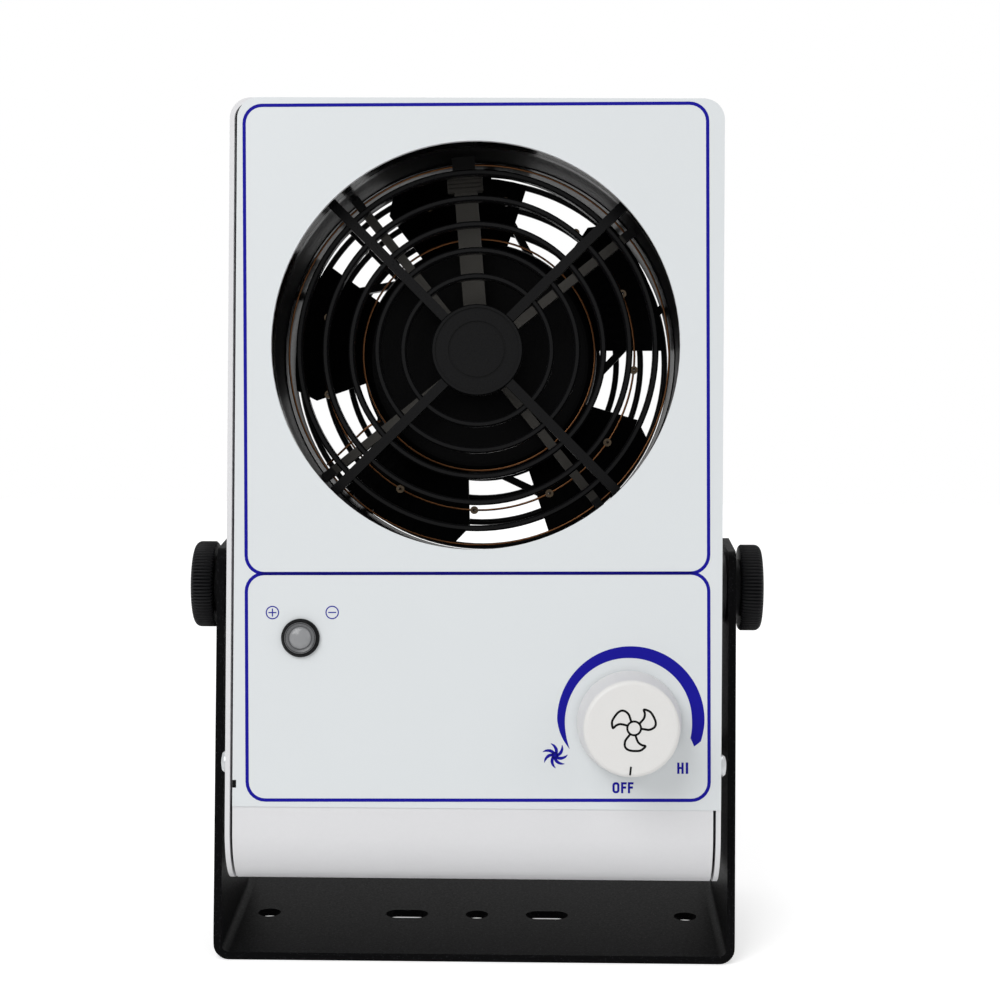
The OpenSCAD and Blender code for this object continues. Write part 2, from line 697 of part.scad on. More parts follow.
module transformer_strap() color("#a9abae") place(core_x, core_depth, sheet_t) difference() {
    w = core_w + 2 * strap_t;
    union() {
        translate([-w / 2, -strap_d / 2, 0]) cube([w, strap_d, core_h + strap_t]);
        translate([-w / 2 - strap_foot, -strap_d / 2, 0]) cube([w + 2 * strap_foot, strap_d, strap_t]);
    }
    translate([-core_w / 2, -core_d, -1]) cube([core_w, 2 * core_d, core_h + 1]);
    for (x = [-1, 1]) translate([x * (core_w + strap_foot) / 2, 0, -1]) cylinder(h = 4, r = 1.7, $fn = 32);
}

module transformer_screws() color("#b9b9bb") for (x = [-1, 1])
    place(core_x + x * (core_w + strap_foot) / 2, core_depth, sheet_t + strap_t) screw(1.5, 2, 2.8, 1.7);

// The insulated lead climbs from the coil, passes the fan on the left and over the top, and
// enters the wide arm behind the outer ground ring. Its bare end meets the emitter ring there.
lead_r = 1.2;
lead_bare_r = 0.5;
lead_in_r = 47; // radius at which the insulation ends
lead_depth = emitter_depth + 2.4; // depth at which the lead passes the outer ground ring
bare_depth = emitter_depth + 1.2; // depth at which the bare end passes the emitter ring
lead_side = (fan_size / 2 + housing_w / 2 - sheet_t) / 2; // halfway between the fan and the cover
lead_over = fan_up + (duct_r + duct_wall + housing_h - sheet_t - fan_up) / 2;
function in_arm(r, depth) = [r * cos(wide_arm_turn), depth, fan_up + r * sin(wide_arm_turn)];
lead_points = smooth([[core_x, core_depth - core_d / 2 - 4, sheet_t + core_h / 2 + window_h / 2],
    [core_x - 3, core_depth - core_d / 2 - 4, sheet_t + core_h], [-46, 26, pivot_up - 20],
    [-51, 29, pivot_up], [-lead_side, 30, fan_up - 30], [-lead_side, 31, fan_up + 28],
    [-50, 32, lead_over - 3.5], [-38, emitter_depth, lead_over], [-14, lead_depth, lead_over],
    [-7.5, lead_depth, lead_over - 0.8], in_arm(54, lead_depth), in_arm(lead_in_r, lead_depth)], 4);
module high_voltage_lead() color("#b3262a") place(0, 0, 0) {
    n = len(lead_points);
    tube_along(concat(lead_points, [in_arm(lead_in_r - 0.5, lead_depth - 0.2),
        in_arm(lead_in_r - 1.5, bare_depth), in_arm(emitter_ring_r, bare_depth)]),
        [for (i = [0 : n + 2]) i < n ? lead_r : lead_bare_r], [1, 0, 0]);
}

// ---- Control board ----

module board_spots() for (x = [-1, 1], y = [-1, 1]) translate([x * board_hole_x, y * board_hole_d, 0]) children();

module control_board() color("#2f6b3a") place(board_x, board_depth, board_up) linear_extrude(board_t) difference() {
    square([board_w, board_d], center = true);
    board_spots() circle(1.7, $fn = 32);
}

module board_parts() color("#3c4a63") place(board_x, board_depth, board_up + board_t) {
    // Film capacitor, choke, triac on its heat sink, and the terminal block
    translate([-20, -11, 0]) cube([6, 14, 10]);
    translate([-5, 1.5, 0]) difference() {
        cylinder(h = 6, r = 6, $fn = 48);
        translate([0, 0, -1]) cylinder(h = 8, r = 3, $fn = 32);
    }
    translate([8, -6, 0]) {
        cube([2, 14, 11]);
        for (y = [0, 6, 12]) translate([2, y, 0]) cube([5, 1.4, 11]);
        translate([-3, 3, 1]) cube([3, 8, 8]);
    }
    translate([-8, -19, 0]) cube([16, 8, 8]);
}

module board_fuse() color("#cfd3d6") place(board_x - 10, board_depth + 13.5, board_up + board_t) {
    for (x = [0, 16]) translate([x - 1.5, -3, 0]) cube([3, 6, 1.2]);
    translate([-3, 0, 3.7]) rotate([0, 90, 0]) cylinder(h = 22, r = 2.55, $fn = 32);
}

module board_standoffs() color("#c9b26b") place(board_x, board_depth, sheet_t) board_spots()
    linear_extrude(board_up - sheet_t) difference() {
        circle(3, $fn = 6);
        circle(1.5 + running, $fn = 32);
    }

module board_screws() color("#b9b9bb") {
    place(board_x, board_depth, board_up + board_t) board_spots() screw(1.5, 4, 2.7, 1.6);
    place(board_x, board_depth, 0) board_spots() mirror([0, 0, 1]) screw(1.5, 4, 2.7, 1.6);
}

// ---- Controls on the front ----

module speed_pot() color("#3a3a3d") facing(knob_x, knob_up) difference() {
    union() {
        slab(bushing_front, pot_front - bushing_front + 1) circle(bushing_r, $fn = 64);
        slab(pot_front, pot_l) circle(pot_r);
        slab(pot_front + pot_l, 8) circle(pot_r - 2);
        slab(pot_front + 2, 1.2) translate([-7, -pot_r - 5]) square([14, 8]);
    }
    slab(bushing_front - eps, pot_front + pot_l - 2 - bushing_front + eps) circle(pot_shaft_r + running, $fn = 64);
}

module pot_nut() color("#b9b9bb") facing(knob_x, knob_up) translate([0, 0, film_t]) linear_extrude(2.2) difference() {
    circle(6.9, $fn = 6);
    circle(bushing_r + running, $fn = 64);
}

module pot_shaft() color("#c9cacd") facing(knob_x, knob_up)
    slab(knob_foot - knob_l + 2, pot_front + pot_l - 2.5 - knob_foot + knob_l - 2) circle(pot_shaft_r, $fn = 64);

module speed_knob() color("#ecebe8") facing(knob_x, knob_up) translate([0, 0, -knob_foot]) difference() {
    rotate_extrude($fn = 128) polygon(concat([[0, 0], [knob_d / 2 - 0.4, 0], [knob_d / 2, 0.4]],
        arc_points(knob_face_d / 2 - 1.2, knob_l - 1.2, 1.2, 6, 90, 6), [[0, knob_l]]));
    translate([0, 0, -1]) cylinder(h = knob_recess_l + 1, r = knob_recess_r);
    translate([0, 0, -1]) cylinder(h = knob_l - 1, r = pot_shaft_r + seat, $fn = 64);
}

module indicator_bezel() color("#1a1a1c") facing(lamp_x, lamp_up) difference() {
    union() {
        translate([0, 0, film_t]) rotate_extrude() polygon([[0, 0], [bezel_d / 2, 0], [bezel_d / 2, 0.7],
            [bezel_d / 2 - 0.6, 1.4], [bezel_d / 2 - 1.1, 1.4], [bezel_d / 2 - 1.5, 0.9], [0, 0.9]]);
        slab(-film_t, sheet_t + film_t + 8) circle(lamp_bush_r, $fn = 64);
    }
    slab(-3, 20) circle(lens_r + 0.3, $fn = 64);
}

module indicator_reflector() color("#8f9194") facing(lamp_x, lamp_up) slab(-film_t - 0.6, 3) difference() {
    circle(lens_r + 0.3 - seat, $fn = 64);
    circle(lens_r - 0.5, $fn = 64);
}

module indicator_lens() color("#8e8f90") facing(lamp_x, lamp_up) translate([0, 0, film_t - 1.4])
    rotate_extrude() polygon(concat([[0, 0], [lens_r - 0.5 - seat, 0]], arc_points(0, 1.4, lens_r - 0.5 - seat, 0, 90, 8)));

module indicator_lamp() color("#a0a4a6") facing(lamp_x, lamp_up) slab(3.2, 5) circle(lens_r, $fn = 48);

module indicator_nut() color("#b9b9bb") facing(lamp_x, lamp_up) slab(sheet_t, 2) difference() {
    circle(5.8, $fn = 6);
    circle(lamp_bush_r + running, $fn = 64);
}

// ---- Inlet at the back ----

module mains_inlet() color("#1d1d1f") facing_back(inlet_x, inlet_up) difference() {
    union() {
        linear_extrude(inlet_flange_t) difference() {
            rounded_square(inlet_flange_w, inlet_flange_h, 5);
            for (x = [-1, 1]) translate([x * inlet_pitch / 2, 0]) circle(1.7, $fn = 32);
        }
        translate([0, 0, inlet_in - housing_d]) linear_extrude(housing_d - inlet_in + 0.5)
            rounded_square(inlet_w, inlet_h, 2.5);
    }
    translate([0, 0, inlet_flange_t - inlet_mouth_d]) linear_extrude(inlet_mouth_d + 1)
        polygon([[-inlet_mouth_w / 2, -inlet_mouth_h / 2], [inlet_mouth_w / 2, -inlet_mouth_h / 2],
            [inlet_mouth_w / 2, inlet_mouth_h / 2 - 4], [inlet_mouth_w / 2 - 4, inlet_mouth_h / 2],
            [4 - inlet_mouth_w / 2, inlet_mouth_h / 2], [-inlet_mouth_w / 2, inlet_mouth_h / 2 - 4]]);
    for (p = [[-7, -2], [0, 2], [7, -2]]) translate([p[0] - 1, p[1] - 2, inlet_in - housing_d - 1]) cube([2, 4, 10]);
}

module inlet_pins() color("#c8b878") facing_back(inlet_x, inlet_up) for (p = [[-7, -2], [0, 2], [7, -2]])
    translate([p[0] - 0.98, p[1] - 1.98, inlet_in - housing_d - 7]) cube([1.96, 3.96, 7 + 6 + 14]);

module inlet_screws() color("#b9b9bb") facing_back(inlet_x, inlet_up) for (x = [-1, 1])
    translate([x * inlet_pitch / 2, 0, inlet_flange_t]) screw(1.5, 8, 2.8, 1.7);

module inlet_nuts() color("#b9b9bb") facing_back(inlet_x, inlet_up) for (x = [-1, 1])
    translate([x * inlet_pitch / 2, 0, -sheet_t - 2.4]) linear_extrude(2.4) difference() {
        circle(3.1, $fn = 6);
        circle(1.5 + running, $fn = 32);
    }

// ---- Knobs ----

// A ribbed round knob: its collar faces the arm and its outer edge is rounded
module clamp_knob() translate([0, 0, bracket_w / 2 + clamp_clearance]) difference() {
    total = clamp_collar + clamp_l;
    r = clamp_d / 2;
    rib = 0.35;
    union() {
        cylinder(h = clamp_collar + 0.2, r = r - 1.8);
        intersection() {
            translate([0, 0, clamp_collar]) linear_extrude(clamp_l) polygon([for (i = [0 : 4 * clamp_ribs - 1])
                let (a = 90 * i / clamp_ribs, q = r - rib / 2 + rib / 2 * (i % 4 == 0 ? 1 : i % 4 == 2 ? -1 : 0))
                [q * cos(a), q * sin(a)]]);
            rotate_extrude() polygon(concat([[0, 0], [r - 0.6, 0], [r - 0.6, clamp_collar], [r + 0.1, clamp_collar + 0.7]],
                arc_points(r - 1.9, total - 2, 2, 0, 90, 5), [[0, total]]));
        }
    }
    translate([0, 0, -1]) cylinder(h = total - 1, r = stud_d / 2 + seat, $fn = 64);
}
module clamp_stud() translate([0, 0, housing_w / 2 - sheet_t - 3.4])
    cylinder(h = bracket_w / 2 - housing_w / 2 + sheet_t + 3.4 + clamp_collar + 4, r = stud_d / 2, $fn = 64);

module left_clamp_knob() color("#1b1b1d") on_tilt_axis(-1) clamp_knob();
module right_clamp_knob() color("#1b1b1d") on_tilt_axis(1) clamp_knob();
module left_clamp_stud() color("#b5b5b8") on_tilt_axis(-1) clamp_stud();
module right_clamp_stud() color("#b5b5b8") on_tilt_axis(1) clamp_stud();

bracket();
friction_washers();
chassis();
cover();
cover_screws();
overlay_film();
duct_ring();
front_grille();
emitter_frame();
outer_ground_ring();
emitter_ring();
inner_ground_ring();
emitter_needles();
ring_jumper();
fan_frame();
fan_stator();
fan_bearings();
rear_guard();
fan_screws();
panel_nuts();
transformer_core();
transformer_coil();
transformer_strap();
transformer_screws();
high_voltage_lead();
control_board();
board_parts();
board_fuse();
board_standoffs();
board_screws();
speed_pot();
pot_nut();
indicator_bezel();
indicator_reflector();
indicator_lens();
indicator_lamp();
indicator_nut();
mains_inlet();
inlet_pins();
inlet_screws();
inlet_nuts();
stud_nuts();
impeller();
rotor_can();
fan_shaft();
speed_knob();
pot_shaft();
left_clamp_knob();
left_clamp_stud();
right_clamp_knob();
right_clamp_stud();
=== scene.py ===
# %% [markdown]
# # An ionizing blower on a pale bench
#
# The object is a fan in a tall sheet-metal box, held between the arms of a
# black bracket. Air leaves through a round opening at the front, past a thin
# wire ring that carries sharp needles. This script dresses the finished CAD
# model: it adds a camera, soft light, paints and plastics, and the printed
# marks on the front film.

# %% Load the fixed frame
import json
from math import cos, radians, sin

import bmesh
import bpy
import numpy as np
from mathutils import Matrix, Vector

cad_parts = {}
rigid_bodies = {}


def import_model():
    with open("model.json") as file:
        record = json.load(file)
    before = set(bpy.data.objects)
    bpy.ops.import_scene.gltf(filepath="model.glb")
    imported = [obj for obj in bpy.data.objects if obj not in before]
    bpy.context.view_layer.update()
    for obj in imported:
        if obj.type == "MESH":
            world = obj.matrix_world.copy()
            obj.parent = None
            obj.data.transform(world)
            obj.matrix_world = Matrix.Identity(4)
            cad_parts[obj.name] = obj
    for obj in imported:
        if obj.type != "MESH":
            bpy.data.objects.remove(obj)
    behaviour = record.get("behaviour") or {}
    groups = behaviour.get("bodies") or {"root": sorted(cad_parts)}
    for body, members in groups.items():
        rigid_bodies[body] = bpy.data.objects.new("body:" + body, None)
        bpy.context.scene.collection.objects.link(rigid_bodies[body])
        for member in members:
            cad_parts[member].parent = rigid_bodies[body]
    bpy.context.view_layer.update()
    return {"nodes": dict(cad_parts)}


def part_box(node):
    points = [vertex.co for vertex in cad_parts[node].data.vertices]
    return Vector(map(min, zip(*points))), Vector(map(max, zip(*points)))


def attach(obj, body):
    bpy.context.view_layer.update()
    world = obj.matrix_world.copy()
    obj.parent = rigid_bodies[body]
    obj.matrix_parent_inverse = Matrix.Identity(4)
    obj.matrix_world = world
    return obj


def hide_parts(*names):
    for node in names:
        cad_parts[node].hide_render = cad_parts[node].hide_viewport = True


for leftover in list(bpy.data.objects):
    bpy.data.objects.remove(leftover)
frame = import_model()
MM = 0.001

# %% [markdown]
# ## The camera
#
# A long lens from a little above the box shows the front nearly square on,
# with the base plate seen from slightly above. The camera's three directions
# are worked out from a turn, a tip and a small roll, which is easier to read
# than Euler angles.

# %% Camera
def camera_axes(turn, tip, roll):
    """Right, up and back directions of a camera that looks along +Y, turned
    about Z by turn, tipped down by tip and rolled by roll, in radians."""
    ahead = np.array([sin(turn) * cos(tip), cos(turn) * cos(tip), -sin(tip)])
    right = np.array([cos(turn), -sin(turn), 0.0])
    up = np.cross(right, ahead)
    return (cos(roll) * right + sin(roll) * up,
            cos(roll) * up - sin(roll) * right, -ahead)


def add_camera(place, turn, tip, roll, lens):
    """A camera at place, in mm, looking along the axes of camera_axes."""
    data = bpy.data.cameras.new("camera")
    data.lens, data.sensor_width = lens, 36.0
    data.clip_start, data.clip_end = 0.01, 100.0
    camera = bpy.data.objects.new("camera", data)
    bpy.context.scene.collection.objects.link(camera)
    matrix = np.eye(4)
    matrix[:3, :3] = np.column_stack(camera_axes(turn, tip, roll))
    matrix[:3, 3] = np.array(place) * MM
    camera.matrix_world = Matrix(matrix.tolist())
    bpy.context.scene.camera = camera
    return camera


camera = add_camera((15.9, -552.9, 200.2), radians(-1.039), radians(8.657),
                    radians(0.203), 76.36)
print("camera", [round(v, 3) for v in camera.location], "lens", camera.data.lens)

# %% [markdown]
# ## Light and the pale bench
#
# A product is usually shot inside white card with one large soft lamp at the
# upper left and a weaker one at the right. The world gives the white card: it
# lights the object gently, and is plain white where the camera, a reflection
# or a clear part looks at it. The floor is a pale card that keeps the soft
# shadow, with a little of its own light for those same rays.

# %% World, floor and lamps
SKY = 0.42
FLOOR_COLOUR = 0.88
FLOOR_GLOW = 0.47
FLOOR_HALF = 0.75
FLOOR_DROP = 0.0001


def seen_rays(tree):
    """A value of 1 where the camera, a reflection or a clear part looks, and 0
    for light that bounces: the sum of three Light Path outputs, clamped."""
    path = tree.nodes.new("ShaderNodeLightPath")
    total = path.outputs["Is Camera Ray"]
    for label in ("Is Glossy Ray", "Is Transmission Ray"):
        add = tree.nodes.new("ShaderNodeMath")
        add.operation, add.use_clamp = "ADD", True
        tree.links.new(total, add.inputs[0])
        tree.links.new(path.outputs[label], add.inputs[1])
        total = add.outputs[0]
    return total


def scaled(tree, value, low, high):
    """low where value is 0 and high where it is 1."""
    node = tree.nodes.new("ShaderNodeMapRange")
    node.inputs["To Min"].default_value = low
    node.inputs["To Max"].default_value = high
    tree.links.new(value, node.inputs["Value"])
    return node.outputs[0]


scene = bpy.context.scene
scene.view_settings.view_transform = "Standard"
world = scene.world or bpy.data.worlds.new("studio")
scene.world = world
world.use_nodes = True
sky = world.node_tree.nodes["Background"]
sky.inputs["Color"].default_value = (1, 1, 1, 1)
world.node_tree.links.new(
    scaled(world.node_tree, seen_rays(world.node_tree), SKY, 1.0), sky.inputs["Strength"])


def add_floor(half, drop):
    """A square card, half its side from the middle to an edge, lying drop
    metres under the object's feet."""
    mesh = bpy.data.meshes.new("floor")
    mesh.from_pydata([(-half, -half, -drop), (half, -half, -drop),
                      (half, half, -drop), (-half, half, -drop)], [], [(0, 1, 2, 3)])
    floor = bpy.data.objects.new("floor", mesh)
    scene.collection.objects.link(floor)
    card = bpy.data.materials.new("pale_card")
    card.use_nodes = True
    tree, shader = card.node_tree, card.node_tree.nodes["Principled BSDF"]
    shader.inputs["Base Color"].default_value = (FLOOR_COLOUR,) * 3 + (1,)
    shader.inputs["Roughness"].default_value = 1.0
    shader.inputs["Specular IOR Level"].default_value = 0.0
    shader.inputs["Emission Color"].default_value = (1, 1, 1, 1)
    tree.links.new(scaled(tree, seen_rays(tree), 0.0, FLOOR_GLOW),
                   shader.inputs["Emission Strength"])
    mesh.materials.append(card)
    return floor


def add_softbox(name, place, aim, size, watts):
    """A square lamp of the given side at place, turned to face aim."""
    data = bpy.data.lights.new(name, "AREA")
    data.shape, data.size, data.energy = "SQUARE", size, watts
    lamp = bpy.data.objects.new(name, data)
    scene.collection.objects.link(lamp)
    lamp.location = place
    lamp.rotation_euler = (Vector(aim) - Vector(place)).to_track_quat("-Z", "Y").to_euler()
    return lamp


add_floor(FLOOR_HALF, FLOOR_DROP)
add_softbox("key_lamp", (-0.75, -1.15, 1.25), (0, 0, 0.1), 1.2, 16.5)
add_softbox("fill_lamp", (1.2, -0.9, 0.8), (0, 0, 0.1), 1.2, 3.6)
add_softbox("top_lamp", (0.1, 0.5, 1.6), (0, 0, 0.1), 0.8, 5.0)

# %% [markdown]
# ## Shared surface effects
#
# No real surface is one flat colour. Paint has a faint orange peel, moulded
# plastic a fine spark-eroded grain, and both drift a little in shade and
# gloss. These effects are made once, as shader node groups with named inputs,
# and each finish gives them its own values. All of them read Object
# coordinates, so that the pattern stays on the piece when it moves.

# %% Colour helper and node groups
def tint(red, green, blue):
    """A colour written 0 to 255 as on a screen, as the linear RGBA of a shader."""
    value = np.array([red, green, blue]) / 255.0
    low, high = value / 12.92, ((value + 0.055) / 1.055) ** 2.4
    return (*np.where(value <= 0.04045, low, high).tolist(), 1.0)


def new_group(name, inputs, outputs):
    """A node group with the named sockets, and its two end nodes."""
    group = bpy.data.node_groups.new(name, "ShaderNodeTree")
    for label, kind, value in inputs:
        socket = group.interface.new_socket(label, in_out="INPUT", socket_type=kind)
        socket.default_value = value
    for label, kind in outputs:
        group.interface.new_socket(label, in_out="OUTPUT", socket_type=kind)
    return group, group.nodes.new("NodeGroupInput"), group.nodes.new("NodeGroupOutput")


def add_noise(tree, vector, scale, detail=2.0):
    """Noise over vector: scale is a number per metre, or a socket with one."""
    noise = tree.nodes.new("ShaderNodeTexNoise")
    noise.inputs["Detail"].default_value = detail
    tree.links.new(vector, noise.inputs["Vector"])
    if isinstance(scale, (int, float)):
        noise.inputs["Scale"].default_value = scale
    else:
        tree.links.new(scale, noise.inputs["Scale"])
    return noise.outputs[0]


def math_node(tree, operation, first, second):
    """One Math node. Each input is a number or a socket."""
    node = tree.nodes.new("ShaderNodeMath")
    node.operation = operation
    for socket, value in zip(node.inputs, (first, second)):
        if isinstance(value, (int, float)):
            socket.default_value = value
        else:
            tree.links.new(value, socket)
    return node.outputs[0]


def ranged(tree, value, low, high, start=0.3, end=0.7):
    """value from start to end becomes low to high, which may be sockets."""
    node = tree.nodes.new("ShaderNodeMapRange")
    node.inputs["From Min"].default_value = start
    node.inputs["From Max"].default_value = end
    tree.links.new(value, node.inputs["Value"])
    for label, limit in (("To Min", low), ("To Max", high)):
        if isinstance(limit, (int, float)):
            node.inputs[label].default_value = limit
        else:
            tree.links.new(limit, node.inputs[label])
    return node.outputs[0]


def make_grain_group():
    """Grain: fine noise gives the height and the roughness, and noise of
    25 mm patches with a share of the fine one makes the colour lighter and
    darker by Shade."""
    group, given, out = new_group("surface_grain", [
        ("Colour", "NodeSocketColor", (0.5, 0.5, 0.5, 1)), ("Shade", "NodeSocketFloat", 0.05),
        ("Grains per metre", "NodeSocketFloat", 2000.0),
        ("Smoothest", "NodeSocketFloat", 0.4), ("Roughest", "NodeSocketFloat", 0.5)],
        [("Colour", "NodeSocketColor"), ("Roughness", "NodeSocketFloat"),
         ("Height", "NodeSocketFloat")])
    place = group.nodes.new("ShaderNodeTexCoord").outputs["Object"]
    fine = add_noise(group, place, given.outputs["Grains per metre"], 3.0)
    broad = add_noise(group, place, 40.0)
    mixed = math_node(group, "ADD", math_node(group, "MULTIPLY", fine, 0.5),
                      math_node(group, "MULTIPLY", broad, 0.5))
    darkest = math_node(group, "SUBTRACT", 1.0, given.outputs["Shade"])
    lightest = math_node(group, "ADD", 1.0, given.outputs["Shade"])
    shade = group.nodes.new("ShaderNodeHueSaturation")
    group.links.new(given.outputs["Colour"], shade.inputs["Color"])
    group.links.new(ranged(group, mixed, darkest, lightest), shade.inputs["Value"])
    group.links.new(shade.outputs["Color"], out.inputs["Colour"])
    group.links.new(ranged(group, fine, given.outputs["Smoothest"], given.outputs["Roughest"]),
                    out.inputs["Roughness"])
    group.links.new(fine, out.inputs["Height"])
    return group


def make_fleck_group():
    """Flecks: round spots of Size, as a share of a cell, in the cells whose
    random shade is above Rarity. The mask is 1 in the middle of a fleck."""
    group, given, out = new_group("paint_flecks", [
        ("Cells per metre", "NodeSocketFloat", 1200.0), ("Size", "NodeSocketFloat", 0.3),
        ("Rarity", "NodeSocketFloat", 0.7)], [("Mask", "NodeSocketFloat")])
    place = group.nodes.new("ShaderNodeTexCoord").outputs["Object"]
    cells = group.nodes.new("ShaderNodeTexVoronoi")
    group.links.new(place, cells.inputs["Vector"])
    group.links.new(given.outputs["Cells per metre"], cells.inputs["Scale"])
    near = math_node(group, "LESS_THAN", cells.outputs["Distance"], given.outputs["Size"])
    split = group.nodes.new("ShaderNodeSeparateColor")
    group.links.new(cells.outputs["Color"], split.inputs["Color"])
    rare = math_node(group, "GREATER_THAN", split.outputs[0], given.outputs["Rarity"])
    group.links.new(math_node(group, "MULTIPLY", near, rare), out.inputs["Mask"])
    return group


def make_streak_group():
    """Streaks: noise pulled out along one axis by the Pull vector, as drawn
    wire and rolled sheet have. It gives a height and a roughness."""
    group, given, out = new_group("drawn_streaks", [
        ("Pull", "NodeSocketVector", (1, 1, 1)), ("Smoothest", "NodeSocketFloat", 0.2),
        ("Roughest", "NodeSocketFloat", 0.4)],
        [("Roughness", "NodeSocketFloat"), ("Height", "NodeSocketFloat")])
    place = group.nodes.new("ShaderNodeTexCoord").outputs["Object"]
    pulled = group.nodes.new("ShaderNodeVectorMath")
    pulled.operation = "MULTIPLY"
    group.links.new(place, pulled.inputs[0])
    group.links.new(given.outputs["Pull"], pulled.inputs[1])
    streaks = add_noise(group, pulled.outputs[0], 1500.0, 3.0)
    rough = ranged(group, streaks, given.outputs["Smoothest"], given.outputs["Roughest"])
    group.links.new(rough, out.inputs["Roughness"])
    group.links.new(streaks, out.inputs["Height"])
    return group


GRAIN, FLECKS, STREAKS = make_grain_group(), make_fleck_group(), make_streak_group()
print("node groups:", [g.name for g in (GRAIN, FLECKS, STREAKS)])

# %% [markdown]
# ## A finish from a group
#
# Every finish below is one Principled BSDF. Numbers that are the same all
# over, such as how metallic it is, are set on its own sockets. The group
# feeds only what changes over the surface: colour, roughness and a bump.

# %% Finish builder
def add_group(tree, group, values):
    """A placed copy of a node group, with its inputs set."""
    node = tree.nodes.new("ShaderNodeGroup")
    node.node_tree = group
    for label, value in values.items():
        node.inputs[label].default_value = value
    return node


def add_bump(tree, height, depth_mm, shader):
    """Turns a height from 0 to 1 into a bump depth_mm deep."""
    bump = tree.nodes.new("ShaderNodeBump")
    bump.inputs["Strength"].default_value = 1.0
    bump.inputs["Distance"].default_value = depth_mm * MM
    tree.links.new(height, bump.inputs["Height"])
    tree.links.new(bump.outputs["Normal"], shader.inputs["Normal"])


def new_finish(name, colour, shade=0.04, grain_mm=0.5, rough=(0.4, 0.5), bump_mm=0.004,
               flecks=None, **constants):
    """A painted or moulded finish. colour is 0 to 255, grain_mm the size of
    its grain, rough its smoothest and roughest value, and flecks, if given,
    (colour, cells per metre, size, rarity). constants go on the shader."""
    material = bpy.data.materials.new(name)
    material.use_nodes = True
    tree, shader = material.node_tree, material.node_tree.nodes["Principled BSDF"]
    for label, value in constants.items():
        shader.inputs[label.replace("_", " ")].default_value = value
    grain = add_group(tree, GRAIN, {
        "Colour": tint(*colour), "Shade": shade, "Grains per metre": 1000.0 / grain_mm,
        "Smoothest": rough[0], "Roughest": rough[1]})
    shown = grain.outputs["Colour"]
    if flecks:
        fleck_colour, cells, size, rarity = flecks
        spots = add_group(tree, FLECKS, {"Cells per metre": cells, "Size": size,
                                         "Rarity": rarity})
        mix = tree.nodes.new("ShaderNodeMix")
        mix.data_type = "RGBA"
        tree.links.new(spots.outputs["Mask"], mix.inputs["Factor"])
        tree.links.new(shown, mix.inputs["A"])
        mix.inputs["B"].default_value = tint(*fleck_colour)
        shown = mix.outputs["Result"]
    tree.links.new(shown, shader.inputs["Base Color"])
    tree.links.new(grain.outputs["Roughness"], shader.inputs["Roughness"])
    add_bump(tree, grain.outputs["Height"], bump_mm, shader)
    return material


def new_metal(name, colour, pull=(1, 1, 1), rough=(0.25, 0.4), shade=0.06, bump_mm=0.002):
    """Bare metal: grain gives it colour patches, streaks its gloss and bump."""
    material = bpy.data.materials.new(name)
    material.use_nodes = True
    tree, shader = material.node_tree, material.node_tree.nodes["Principled BSDF"]
    shader.inputs["Metallic"].default_value = 1.0
    grain = add_group(tree, GRAIN, {"Colour": tint(*colour), "Shade": shade,
                                    "Grains per metre": 1500.0})
    streaks = add_group(tree, STREAKS, {"Pull": pull, "Smoothest": rough[0],
                                        "Roughest": rough[1]})
    tree.links.new(grain.outputs["Colour"], shader.inputs["Base Color"])
    tree.links.new(streaks.outputs["Roughness"], shader.inputs["Roughness"])
    add_bump(tree, streaks.outputs["Height"], bump_mm, shader)
    return material


DRESSED = set()


def dress(material, *nodes):
    """Gives CAD nodes this finish on their own material slots."""
    DRESSED.update(nodes)
    for name in nodes:
        mesh = frame["nodes"][name].data
        mesh.materials.clear()
        mesh.materials.append(material)


REST_TILT = radians(9)
PIVOT_UP = 93.0
PANEL_FACE = 33.8
FAN_UP = 61.2


def darker_outside(material, radius_mm, colour):
    """Beyond a radius from the fan's axis the finish takes another colour:
    Object coordinates are turned and moved onto the axis, and the mask is the
    root of x squared plus z squared against the radius."""
    tree, shader = material.node_tree, material.node_tree.nodes["Principled BSDF"]
    lean = tree.nodes.new("ShaderNodeMapping")
    lean.inputs["Rotation"].default_value = (REST_TILT, 0, 0)
    lean.inputs["Location"].default_value = (0, PIVOT_UP * MM * sin(REST_TILT),
                                             -(PIVOT_UP * cos(REST_TILT) + FAN_UP) * MM)
    place = tree.nodes.new("ShaderNodeTexCoord")
    tree.links.new(place.outputs["Object"], lean.inputs["Vector"])
    parts = tree.nodes.new("ShaderNodeSeparateXYZ")
    tree.links.new(lean.outputs["Vector"], parts.inputs["Vector"])
    x, z = parts.outputs["X"], parts.outputs["Z"]
    squares = math_node(tree, "ADD", math_node(tree, "MULTIPLY", x, x),
                        math_node(tree, "MULTIPLY", z, z))
    mask = ranged(tree, math_node(tree, "SQRT", squares, 0.0), 0.0, 1.0,
                  (radius_mm - 0.2) * MM, (radius_mm + 0.2) * MM)
    mix = tree.nodes.new("ShaderNodeMix")
    mix.data_type = "RGBA"
    tree.links.new(mask, mix.inputs["Factor"])
    tree.links.new(shader.inputs["Base Color"].links[0].from_socket, mix.inputs["A"])
    mix.inputs["B"].default_value = tint(*colour)
    tree.links.new(mix.outputs["Result"], shader.inputs["Base Color"])
    return material


print("finish builder ready")

# %% [markdown]
# ## The finishes
#
# Outside: pale satin paint on folded steel, a printed film over the front,
# black powder coat on the bracket, and black moulded plastic. Inside: zinc,
# copper, laminated steel, a green board and its parts.

